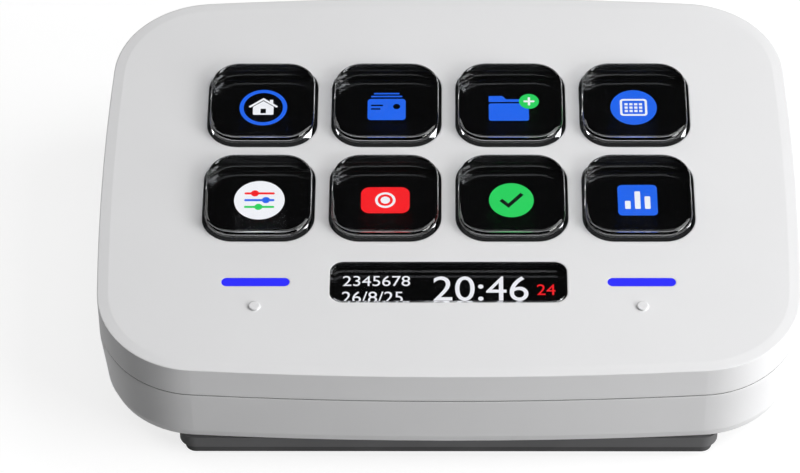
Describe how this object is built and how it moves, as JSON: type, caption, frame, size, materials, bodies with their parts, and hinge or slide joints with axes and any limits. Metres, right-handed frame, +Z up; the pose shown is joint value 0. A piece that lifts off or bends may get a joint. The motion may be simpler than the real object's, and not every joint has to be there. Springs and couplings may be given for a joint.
{
  "type": "macro keypad",
  "caption": "Desk keypad with clear push keys over one lit picture panel, an information window, light bars, touch points and a rear cable socket.",
  "frame": {"origin": "middle of the rubber foot's underside, at the middle of the part's length and depth", "axes": "+X to the user's right along the long side, +Y away from the user to the cable socket, +Z up"},
  "size_m": [0.1072, 0.078, 0.0266],
  "materials": {
    "white_housing": "satin white ABS",
    "foot_rubber": "matte black",
    "clear_key": "polished clear acrylic",
    "window_lens": "polished clear acrylic",
    "light_guide": "translucent, lit blue",
    "mat_silicone": "matte black silicone",
    "contact_film": "printed polyester film",
    "gasket_foam": "closed-cell foam",
    "panel_glass": "polished, pictures shown on it",
    "backlight_white": "white light guide",
    "frame_black": "moulded, satin",
    "silicon_chip": "polished",
    "board_laminate": "green solder mask",
    "chip_black": "moulded epoxy",
    "ferrite_grey": "pressed ferrite",
    "connector_cream": "moulded nylon",
    "ballast_steel": "zinc-plated",
    "socket_steel": "nickel-plated",
    "tongue_black": "moulded nylon",
    "ribbon_film": "amber polyimide",
    "screw_steel": "black zinc"
  },
  "bodies": {
    "base": {"top_cover": "white_housing", "lower_housing": "white_housing", "rubber_foot": "foot_rubber", "key_mat": "mat_silicone", "contact_sheet": "contact_film", "display_gasket": "gasket_foam", "display_glass": "panel_glass", "backlight": "backlight_white", "display_frame": "frame_black", "display_driver": "silicon_chip", "info_window": "window_lens", "light_bar_left": "light_guide", "light_bar_right": "light_guide", "main_board": "board_laminate", "main_controller": "chip_black", "memory_chip": "chip_black", "power_inductor": "ferrite_grey", "display_connector": "connector_cream", "key_connector": "connector_cream", "ballast_plate": "ballast_steel", "socket_shell": "socket_steel", "socket_tongue": "tongue_black", "display_ribbon": "ribbon_film", "key_ribbon": "ribbon_film", "housing_screws": "screw_steel"},
    "key_1": {"key_1": "clear_key"},
    "key_2": {"key_2": "clear_key"},
    "key_3": {"key_3": "clear_key"},
    "key_4": {"key_4": "clear_key"},
    "key_5": {"key_5": "clear_key"},
    "key_6": {"key_6": "clear_key"},
    "key_7": {"key_7": "clear_key"},
    "key_8": {"key_8": "clear_key"}
  },
  "joints": [
    {"name": "key_1_press", "type": "slide", "parent": "base", "child": "key_1", "axis": [0, 0.0872, -0.9962], "range_m": [0, 0.0008], "stiffness_N_per_m": 600, "springref_m": -0.0004, "deforming": ["key_mat"]},
    {"name": "key_2_press", "type": "slide", "parent": "base", "child": "key_2", "axis": [0, 0.0872, -0.9962], "range_m": [0, 0.0008], "stiffness_N_per_m": 600, "springref_m": -0.0004, "deforming": ["key_mat"]},
    {"name": "key_3_press", "type": "slide", "parent": "base", "child": "key_3", "axis": [0, 0.0872, -0.9962], "range_m": [0, 0.0008], "stiffness_N_per_m": 600, "springref_m": -0.0004, "deforming": ["key_mat"]},
    {"name": "key_4_press", "type": "slide", "parent": "base", "child": "key_4", "axis": [0, 0.0872, -0.9962], "range_m": [0, 0.0008], "stiffness_N_per_m": 600, "springref_m": -0.0004, "deforming": ["key_mat"]},
    {"name": "key_5_press", "type": "slide", "parent": "base", "child": "key_5", "axis": [0, 0.0872, -0.9962], "range_m": [0, 0.0008], "stiffness_N_per_m": 600, "springref_m": -0.0004, "deforming": ["key_mat"]},
    {"name": "key_6_press", "type": "slide", "parent": "base", "child": "key_6", "axis": [0, 0.0872, -0.9962], "range_m": [0, 0.0008], "stiffness_N_per_m": 600, "springref_m": -0.0004, "deforming": ["key_mat"]},
    {"name": "key_7_press", "type": "slide", "parent": "base", "child": "key_7", "axis": [0, 0.0872, -0.9962], "range_m": [0, 0.0008], "stiffness_N_per_m": 600, "springref_m": -0.0004, "deforming": ["key_mat"]},
    {"name": "key_8_press", "type": "slide", "parent": "base", "child": "key_8", "axis": [0, 0.0872, -0.9962], "range_m": [0, 0.0008], "stiffness_N_per_m": 600, "springref_m": -0.0004, "deforming": ["key_mat"]}
  ]
}
